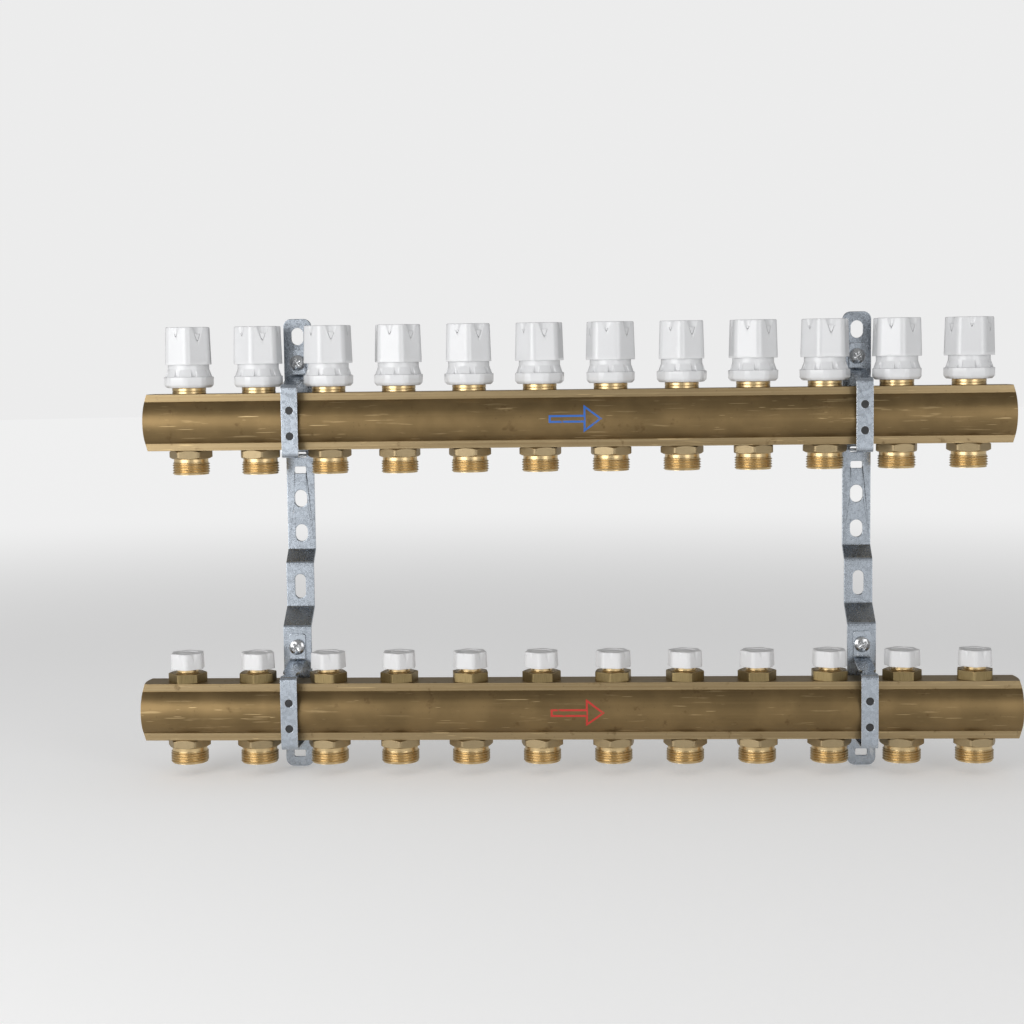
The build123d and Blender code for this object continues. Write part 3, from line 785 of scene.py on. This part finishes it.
def knob(name, low, high, radius, top_radius, corner, edge, dents, bore, sizes, steps, recess):
    """Tapered six-sided knob with finger dents, a bore from below and a shallow recess on top."""
    around = angles(steps)
    slope = (radius - top_radius) / (high - low)

    def reach(height):
        shrink = (height - low) * slope
        flat = corner + (radius - corner) * cos(pi / 6)
        out = polygon_reach(around, 6, flat - shrink, corner - shrink / 2)
        for i in range(6):
            tip = high - dents[i % 2]
            surface = flat - (tip - low) * slope
            turned = (around - i * pi / 3 + pi) % (2 * pi) - pi
            wall = dent_reach(turned, height, surface, tip, sizes.dent_tilt, sizes.dent_half_angle)
            out = soft_smallest(out, np.minimum(wall, out + 0.01), sizes.softness)
        return out

    foot = 0.35 * MM
    deep = high - dents[1] - 0.6 * MM
    levels = list(np.linspace(low + foot, deep, 6)) + list(np.linspace(deep, high - edge, 30))[1:]
    rings = [(bore, low + 0.3 * MM), (bore + 0.3 * MM, low)]
    rings += [(reach(low) - foot, low), (reach(low + foot / 3) - foot / 4, low + foot / 4)]
    rings += [(reach(level), level) for level in levels]
    shoulder = reach(high - edge)
    for i in range(1, 6):
        bend = i * pi / 10
        rings.append((shoulder - edge * (1 - cos(bend)), high - edge + edge * sin(bend)))
    rings += [(recess + 0.25 * MM, high), (recess, high - 0.15 * MM), (recess - 0.2 * MM, high - 0.6 * MM)]
    rings += [(recess * 0.62, high - 0.6 * MM), (recess * 0.58, high - 0.42 * MM)]
    rings += [(recess * 0.2, high - 0.42 * MM)]
    roof = high - (high - low) * 0.16
    rings = [(bore * 0.5, roof), (bore, roof - 0.4 * MM)] + rings
    return skin(name, around, [(r, z, 1.0, 0.0) for r, z in rings])


def moved(mesh, x, axis, turn):
    """Copy of an upright mesh at its circuit, turned about its own axis."""
    copy = mesh.copy()
    copy.transform(Matrix.Translation((x, axis, 0)) @ Matrix.Rotation(radians(turn), 4, "Z"))
    return copy


def hexagon_rings(around, flat, low, high, lean):
    """Grainy hexagon whose corners are turned down at both ends, at lean degrees."""
    reach = polygon_reach(around, 6, flat / 2, limit=flat / 2 / cos(pi / 6) * 0.985, start=pi / 6)
    rim = flat / 2 * 0.985
    drop = (reach - rim) * tan(radians(lean))
    return [(rim, low, 0, 0), (reach, low + drop, 0, 0), (reach, high - drop, 0, 0), (rim, high, 0, 0)]


def outlet_mesh(sizes):
    """Outlet nipple: collar against the bar, hexagon, neck, thread blank and coned mouth."""
    around = angles(sizes.steps)
    base = -BAR_TOP
    low = base - OUTLET_LENGTH
    thread_top = base - OUTLET_THREAD_START
    radius = sizes.thread_radius
    neck = OUTLET_NECK
    bore, spigot = OUTLET_SPIGOT_BORE, OUTLET_SPIGOT
    rings = [(bore, base + 1.0 * MM, 1, 0), (spigot, base + 1.0 * MM, 1, 0), (spigot, base, 1, 0)]
    foot = base - OUTLET_HEXAGON
    rings += reversed(hexagon_rings(around, sizes.outlet_flat, foot, base, OUTLET_HEXAGON_LEAN))
    rings += [(neck + 0.2 * MM, foot, 1, 0), (neck, base - 6.2 * MM, 1, 0)]
    rings += [(neck, thread_top + 0.05 * MM, 1, 0), (radius - sizes.thread_depth, thread_top, 1, 0)]
    levels = np.linspace(thread_top - 0.25 * MM, low + 0.9 * MM, 40)
    for i, level in enumerate(levels):
        start = min(1.0, i / 3)
        rings.append((radius - sizes.thread_depth * (1 - start), level, 1, start))
    rings += [(radius - 0.45 * MM, low + 0.45 * MM, 1, 0.55), (radius - 0.9 * MM, low, 1, 0)]
    rings += [(OUTLET_MOUTH, low, 1, 0), (OUTLET_BORE, low + OUTLET_MOUTH_DEPTH, 1, 0)]
    rings += [(OUTLET_BORE, base - 1.5 * MM, 1, 0), (bore, base - 1.5 * MM, 1, 0)]
    return skin("outlet", around, rings, hollow=True)


def lockshield_mesh(sizes):
    """Lockshield body: hexagon with a turned collar, then its bright neck."""
    around = angles(sizes.steps)
    base = BAR_TOP
    top = base + LOCKSHIELD_HEXAGON
    end = top + LOCKSHIELD_NECK_LENGTH
    neck = LOCKSHIELD_NECK
    bore, spigot = LOCKSHIELD_BORE, LOCKSHIELD_SPIGOT
    rings = [(bore, base - 1 * MM, 1, 0), (spigot, base - 1 * MM, 1, 0), (spigot, base, 1, 0)]
    rings += hexagon_rings(around, sizes.lockshield_flat, base, top, LOCKSHIELD_HEXAGON_LEAN)
    rings += [(LOCKSHIELD_SHOULDER, top, 1, 0), (9.0 * MM, top + 0.35 * MM, 1, 0)]
    rings += [(neck + 0.3 * MM, top + 0.4 * MM, 1, 0)]
    rings += [(neck, top + 0.7 * MM, 1, 0), (neck, end - 0.4 * MM, 1, 0), (neck - 0.4 * MM, end, 1, 0)]
    rings += [(bore, end, 1, 0)]
    return skin("lockshield", around, rings, hollow=True)


def insert_mesh(sizes):
    """Valve insert: rounded flange on the bar with a fine groove, and the stub in the collar."""
    around = angles(sizes.steps)
    base = BAR_TOP
    out, stub, hole = INSERT_FLANGE, INSERT_STUB, INSERT_PIN_HOLE
    end = base + INSERT_STUB_TOP
    rings = [(hole, base - 1 * MM, 1, 0), (INSERT_SPIGOT, base - 1 * MM, 1, 0), (INSERT_SPIGOT, base, 1, 0)]
    grooved = ((-0.35, 0.0), (0.0, 0.35), (0.0, 1.7), (-0.3, 1.85), (-0.3, 2.15), (0.0, 2.3), (0.0, 4.1))
    for radius, height in grooved:
        rings.append((out + radius * MM, base + height * MM, 1, 0))
    rings += [(out - 0.3 * MM, base + 4.45 * MM, 1, 0), (stub, base + 4.45 * MM, 1, 0)]
    rings += [(stub, end, 1, 0), (INSERT_BORE, end, 1, 0)]
    rings += [(INSERT_BORE, base + 10 * MM, 1, 0), (hole, base + 10 * MM, 1, 0)]
    return skin("insert", around, rings, hollow=True)


def collar_mesh():
    """White collar: eight-sided flange, gussets round its foot and a plain neck."""
    around = angles(192)
    base = BAR_TOP + COLLAR_GAP
    top = base + COLLAR_FLANGE
    end = top + COLLAR_NECK_LENGTH
    neck = COLLAR_NECK
    outline = polygon_reach(around, 8, COLLAR_FLAT, limit=COLLAR_CORNER, start=pi / 8)
    off = np.abs((around + pi / 8) % (pi / 4) - pi / 8)
    on_gusset = np.clip((GUSSET_HALF_ANGLE - off) / GUSSET_EDGE, 0, 1)

    def gusset(share):
        return neck + GUSSET_DEPTH * (1 - share) * on_gusset

    rings = [(COLLAR_BORE, base + 17.7 * MM), (COLLAR_BORE, base)]
    rings += [(outline - 2.1 * MM, base), (outline - 1.5 * MM, base + 0.35 * MM)]
    rings += [(outline - 0.25 * MM, base + 1.7 * MM)]
    rings += [(outline, base + 2.2 * MM), (outline, top - 0.3 * MM), (outline - 0.3 * MM, top)]
    rings += [(gusset(0) + 0.2 * MM, top)]
    rings += [(gusset(share), top + GUSSET_HEIGHT * share + 0.02 * MM) for share in np.linspace(0.02, 1, 9)]
    rings += [(neck, top + 5.6 * MM), (neck, top + 17.5 * MM), (neck - 0.3 * MM, end)]
    rings += [(COLLAR_BORE, end)]
    return skin("collar", around, [(r, z, 1.0, 0.0) for r, z in rings], hollow=True)


def screw_mesh():
    """Pan head with a tapered cross recess, pointing along -Y."""
    around = angles(96)
    radius = SCREW_HEAD
    arms = np.minimum(np.abs(np.sin(around - SCREW_TURN)), np.abs(np.cos(around - SCREW_TURN)))

    def face(out):
        dome = SCREW_HEIGHT * np.sqrt(np.maximum(1 - (out / (radius * 1.22)) ** 2, 0))
        between = np.clip((CROSS_HALF_WIDTH - arms * out) / (0.35 * MM), 0, 1)
        inside = between * np.clip((CROSS_REACH - out) / (0.7 * MM), 0, 1)
        return dome - inside * CROSS_DEPTH * np.clip(1.15 - out / (4.5 * MM), 0.3, 1)

    rings = [(SCREW_SHANK, -1.5 * MM), (SCREW_SHANK, 0.0), (radius - 0.2 * MM, 0.0)]
    rings += [(radius, 0.3 * MM), (radius, 1.6 * MM)]
    rings += [(out, face(out)) for out in np.linspace(radius - 0.12 * MM, 0.15 * MM, 34)]
    mesh = skin("screw", around, [(r, z, 1.0, 0.0) for r, z in rings])
    mesh.transform(Matrix.Rotation(pi / 2, 4, "X"))
    return mesh


def port_mesh(sizes):
    """Threaded lining of a bar's end, its axis along X."""
    around = angles(sizes.steps)
    crest = 15.12 * MM - sizes.port_depth
    rings = [(PORT_WALL, 0.0, 1, 0), (PORT_WALL, PORT_LENGTH, 1, 0), (PORT_ROOT, PORT_LENGTH, 1, 0)]
    for level in np.linspace(16.2 * MM, 0.3 * MM, 60):
        rings.append((crest, level, 1, -1.0))
    rings.append((PORT_ROOT, 0.0, 1, 0))
    return skin("port", around, rings, hollow=True)


class BarsOperator(bpy.types.Operator):
    """Make the two bars, drawn and dulled, each with its flow arrow"""

    bl_idname = "manifold.bars"
    bl_label = "Bars"

    def execute(self, context):
        colours = context.scene.manifold_finishes
        bars = (
            ("return_bar", "upper_bar", UPPER_AXIS, colours.return_mark),
            ("flow_bar", "lower_bar", LOWER_AXIS, colours.flow_mark),
        )
        for name, node, axis, mark in bars:
            material = drawn_brass("drawn_brass_" + name, axis, mark, colours)
            settle(fair_copy(name, node), material, "drawn_brass", FIXED, node)
        return {"FINISHED"}


class PortsOperator(bpy.types.Operator):
    """Make the threads in the four open ends of the bars"""

    bl_idname = "manifold.ports"
    bl_label = "Port threads"

    def execute(self, context):
        sizes = context.scene.manifold_fittings
        material = worked_brass("turned_brass", context.scene.manifold_finishes)
        mesh = threaded(port_mesh(sizes), sizes.port_pitch, sizes.port_depth, material)
        mesh.transform(Matrix.Rotation(pi / 2, 4, "Y"))
        mesh.transform(Matrix.Translation((BAR_END - PORT_INSET, 0, 0)))
        spots = [((0, *axis), turn) for axis in (UPPER_AXIS, LOWER_AXIS) for turn in (0, 180)]
        settle(row("port_threads", mesh, spots, material), material, "turned_brass", FIXED)
        return {"FINISHED"}


class OutletsOperator(bpy.types.Operator):
    """Make the threaded outlet nipples under both bars"""

    bl_idname = "manifold.outlets"
    bl_label = "Outlets"

    def execute(self, context):
        sizes = context.scene.manifold_fittings
        material = worked_brass("turned_brass_outlets", context.scene.manifold_finishes)
        mesh = threaded(outlet_mesh(sizes), sizes.thread_pitch, sizes.thread_depth, material)
        rows = (("return_outlets", UPPER_AXIS, 1), ("flow_outlets", LOWER_AXIS, -1))
        for name, axis, sign in rows:
            spots = circuit_spots(axis, [sign * turn for turn in OUTLET_TURNS])
            piece = row(name, mesh, spots, material)
            settle(piece, material, "turned_brass", FIXED, "outlet_nipples")
        return {"FINISHED"}


class ValvesOperator(bpy.types.Operator):
    """Make the brass inserts of the return bar and the lockshields of the flow bar"""

    bl_idname = "manifold.valves"
    bl_label = "Inserts and lockshields"

    def execute(self, context):
        sizes = context.scene.manifold_fittings
        colours = context.scene.manifold_finishes
        material = worked_brass("turned_brass_inserts", colours)
        piece = row("inserts", insert_mesh(sizes), circuit_spots(UPPER_AXIS, OUTLET_TURNS), material)
        settle(piece, material, "turned_brass", FIXED, "valve_inserts")
        material = scratched_brass("turned_brass_lockshields", colours)
        spots = circuit_spots(LOWER_AXIS, LOCKSHIELD_TURNS)
        piece = row("lockshields", lockshield_mesh(sizes), spots, material)
        settle(piece, material, "turned_brass", FIXED, "lockshield_bodies")
        return {"FINISHED"}


class CollarsOperator(bpy.types.Operator):
    """Make the white collars that the handwheels turn on"""

    bl_idname = "manifold.collars"
    bl_label = "Collars"

    def execute(self, context):
        tone = context.scene.manifold_finishes.gloss_white
        material = moulded_white("gloss_white_collars", tone, 0.20, 0.00005)
        piece = row("collars", collar_mesh(), circuit_spots(UPPER_AXIS, OUTLET_TURNS), material)
        settle(piece, material, "white_gloss_plastic", FIXED, "knob_collars")
        return {"FINISHED"}


class HandwheelsOperator(bpy.types.Operator):
    """Make the twelve handwheels, each on its own body"""

    bl_idname = "manifold.handwheels"
    bl_label = "Handwheels"

    def execute(self, context):
        sizes = context.scene.manifold_knobs
        material = moulded_white("gloss_white", context.scene.manifold_finishes.gloss_white, 0.14, 0.00004)
        mesh = knob(
            "wheel",
            WHEEL_LOW,
            WHEEL_HIGH,
            sizes.wheel_radius,
            sizes.wheel_top_radius,
            sizes.wheel_corner,
            sizes.wheel_edge,
            (sizes.wheel_dent_short, sizes.wheel_dent_long),
            WHEEL_BORE,
            sizes,
            WHEEL_STEPS,
            WHEEL_RECESS,
        )
        for number, x, turn in zip(NUMBERS, CIRCUITS, WHEEL_TURNS):
            piece = new_object("wheel_" + number, moved(mesh, x, UPPER_AXIS[0], turn))
            node = "handwheel_" + number
            settle(piece, material, "white_gloss_plastic", node, node)
        return {"FINISHED"}


class CapsOperator(bpy.types.Operator):
    """Make the twelve lockshield caps, each on its own body"""

    bl_idname = "manifold.caps"
    bl_label = "Lockshield caps"

    def execute(self, context):
        sizes = context.scene.manifold_knobs
        material = moulded_white("satin_white", context.scene.manifold_finishes.satin_white, 0.34, 0.00007)
        mesh = knob(
            "cap",
            CAP_LOW,
            CAP_HIGH,
            sizes.cap_radius,
            sizes.cap_top_radius,
            sizes.cap_corner,
            sizes.cap_edge,
            (sizes.cap_dent_short, sizes.cap_dent_long),
            CAP_BORE,
            sizes,
            CAP_STEPS,
            CAP_RECESS,
        )
        for number, x, turn in zip(NUMBERS, CIRCUITS, CAP_TURNS):
            piece = new_object("cap_" + number, moved(mesh, x, LOWER_AXIS[0], turn))
            node = "lockshield_cap_" + number
            settle(piece, material, "white_satin_plastic", node, node)
        return {"FINISHED"}


class BracketsOperator(bpy.types.Operator):
    """Make the bracket plates, straps, pads and screws"""

    bl_idname = "manifold.brackets"
    bl_label = "Brackets"

    def execute(self, context):
        colours = context.scene.manifold_finishes
        zinc = zinc_plate("zinc_plates", colours.zinc)
        piece = fair_copy("plates", "bracket_plates", bevel=0.3 * MM)
        settle(piece, zinc, "zinc_plated_steel", FIXED, "bracket_plates")
        zinc = zinc_plate("zinc_straps", colours.zinc, 1.12)
        piece = fair_copy("straps", "clamp_straps", bevel=0.25 * MM)
        settle(piece, zinc, "zinc_plated_steel", FIXED, "clamp_straps")
        rubber = moulded_rubber("rubber_pads", colours.rubber)
        settle(fair_copy("pads", "clamp_pads"), rubber, "black_rubber", FIXED, "clamp_pads")
        low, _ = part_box("clamp_screws")
        bright = plain_metal("screw_plating", colours.screw_plate, 0.16, 1500.0)
        side = middle("clamp_screws").x - low.x - SCREW_HEAD
        spots = []
        for axis in (UPPER_AXIS, LOWER_AXIS):
            seat = axis[0] + SCREW_SEAT
            spots += [((x, seat, axis[1] + SCREW_RISE), 0) for x in (-side, side)]
        piece = row("screws", screw_mesh(), spots, bright)
        settle(piece, bright, "plated_screw_steel", FIXED, "clamp_screws")
        return {"FINISHED"}


class InnerPartsOperator(bpy.types.Operator):
    """Give the pins, spindles, springs and seal rings their finishes"""

    bl_idname = "manifold.inner_parts"
    bl_label = "Inner parts"

    def execute(self, context):
        colours = context.scene.manifold_finishes
        finishes = {
            "seal_rings": moulded_rubber("rubber_seals", colours.rubber),
            "return_springs": plain_metal("spring_wire", (0.45, 0.46, 0.48), 0.25, 2200.0),
        }
        steel = plain_metal("stainless_pins", (0.66, 0.66, 0.66), 0.22, 1800.0)
        brass = plain_metal("spindle_brass", tuple(colours.bright_brass), 0.24, 1600.0)
        for number in NUMBERS:
            finishes["valve_pin_" + number] = steel
            finishes["lockshield_spindle_" + number] = brass
        for node, material in finishes.items():
            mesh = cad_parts[node].data
            mesh.materials.clear()
            mesh.materials.append(material)
        return {"FINISHED"}


class StageOperator(bpy.types.Operator):
    """Make the camera, the floor and the soft studio light"""

    bl_idname = "manifold.stage"
    bl_label = "Stage"

    def execute(self, context):
        stage = context.scene.manifold_stage
        self.camera(context.scene, stage)
        low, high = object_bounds()
        mesh = bpy.data.meshes.new("floor")
        around = angles(96)
        rim = [(8 * cos(a), 8 * sin(a), low.z - 0.0006) for a in around]
        mesh.from_pydata(rim, [], [tuple(range(len(rim)))])
        floor = new_object("floor", mesh)
        mesh.materials.append(stage_paint("floor_paint", ROOM_TONE))
        floor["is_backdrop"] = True
        target = (low + high) / 2
        self.softbox("left_softbox", target, -42, 1.45, (1.05, 1.2), stage.key)
        self.softbox("right_softbox", target, 35, 1.45, (0.7, 1.2), stage.fill)
        self.room(context.scene, stage.ambient)
        context.scene.view_settings.view_transform = "Standard"
        return {"FINISHED"}

    def camera(self, scene, stage):
        """Camera turned by yaw, tilted down by pitch and rolled about its own axis."""
        flat = cos(stage.pitch)
        ahead = Vector((sin(stage.yaw) * flat, cos(stage.yaw) * flat, -sin(stage.pitch)))
        level = Vector((cos(stage.yaw), -sin(stage.yaw), 0))
        above = level.cross(ahead)
        right = level * cos(stage.roll) + above * sin(stage.roll)
        top = above * cos(stage.roll) - level * sin(stage.roll)
        data = bpy.data.cameras.new("camera")
        data.sensor_width = 36.0
        data.lens = stage.lens
        camera = new_object("camera", data)
        turn = Matrix((right, top, -ahead)).transposed().to_4x4()
        camera.matrix_world = Matrix.Translation(stage.place) @ turn
        scene.camera = camera

    def softbox(self, name, target, bearing, distance, size, power):
        """Large rectangular light aimed at the manifold, its bearing measured from the front."""
        light = bpy.data.lights.new(name, "AREA")
        light.shape = "RECTANGLE"
        light.size, light.size_y = size
        light.energy = power
        box = new_object(name, light)
        turn = radians(bearing)
        away = Vector((sin(turn), -cos(turn), 0.10))
        box.location = target + away * distance
        box.rotation_mode = "QUATERNION"
        box.rotation_quaternion = away.to_track_quat("Z", "Y")

    def room(self, scene, strength):
        """Room light from above and both sides; the metal mirrors it, and behind the manifold it is pale."""
        world = scene.world or bpy.data.worlds.new("room")
        scene.world = world
        world.use_nodes = True
        world.node_tree.nodes.clear()
        g = Graph(world.node_tree)
        seen = g.node("ShaderNodeLightPath", output="Is Camera Ray")
        x, _, z = g.parts(g.node("ShaderNodeTexCoord", output="Generated"))
        bright = 0.5 + g.step(z, -0.1, 0.7) * 0.85 + g.step(x.math("ABSOLUTE"), 0.3, 0.9) * 0.45
        tone = g.blend(seen, g.blend(bright * strength, (0.0, 0.0, 0.0), (1.0, 1.0, 1.0)), ROOM_TONE)
        light = g.node("ShaderNodeBackground", {}, {"Color": tone, "Strength": 1.0})
        g.node("ShaderNodeOutputWorld", {}, {"Surface": light})


OPERATORS = (
    BarsOperator,
    PortsOperator,
    OutletsOperator,
    ValvesOperator,
    CollarsOperator,
    HandwheelsOperator,
    CapsOperator,
    BracketsOperator,
    InnerPartsOperator,
    StageOperator,
)


class ManifoldPanel(bpy.types.Panel):
    """Buttons for every group of pieces"""

    bl_idname = "VIEW3D_PT_manifold"
    bl_label = "Manifold"
    bl_space_type = "VIEW_3D"
    bl_region_type = "UI"
    bl_category = "Manifold"

    def draw(self, context):
        for operator in OPERATORS:
            self.layout.operator(operator.bl_idname)


GROUPS = {
    "manifold_knobs": ManifoldKnobSizes,
    "manifold_fittings": ManifoldFittingSizes,
    "manifold_finishes": ManifoldFinishes,
    "manifold_stage": ManifoldStage,
}


def register():
    for name, group in GROUPS.items():
        bpy.utils.register_class(group)
        setattr(bpy.types.Scene, name, PointerProperty(type=group))
    for item in (*OPERATORS, ManifoldPanel):
        bpy.utils.register_class(item)


def unregister():
    for item in (ManifoldPanel, *reversed(OPERATORS)):
        bpy.utils.unregister_class(item)
    for name, group in GROUPS.items():
        delattr(bpy.types.Scene, name)
        bpy.utils.unregister_class(group)


def main():
    """Builds every piece in order."""
    register()
    for operator in OPERATORS:
        group, name = operator.bl_idname.split(".")
        getattr(getattr(bpy.ops, group), name)()
    bpy.context.view_layer.update()


if __name__ == "__main__":
    main()
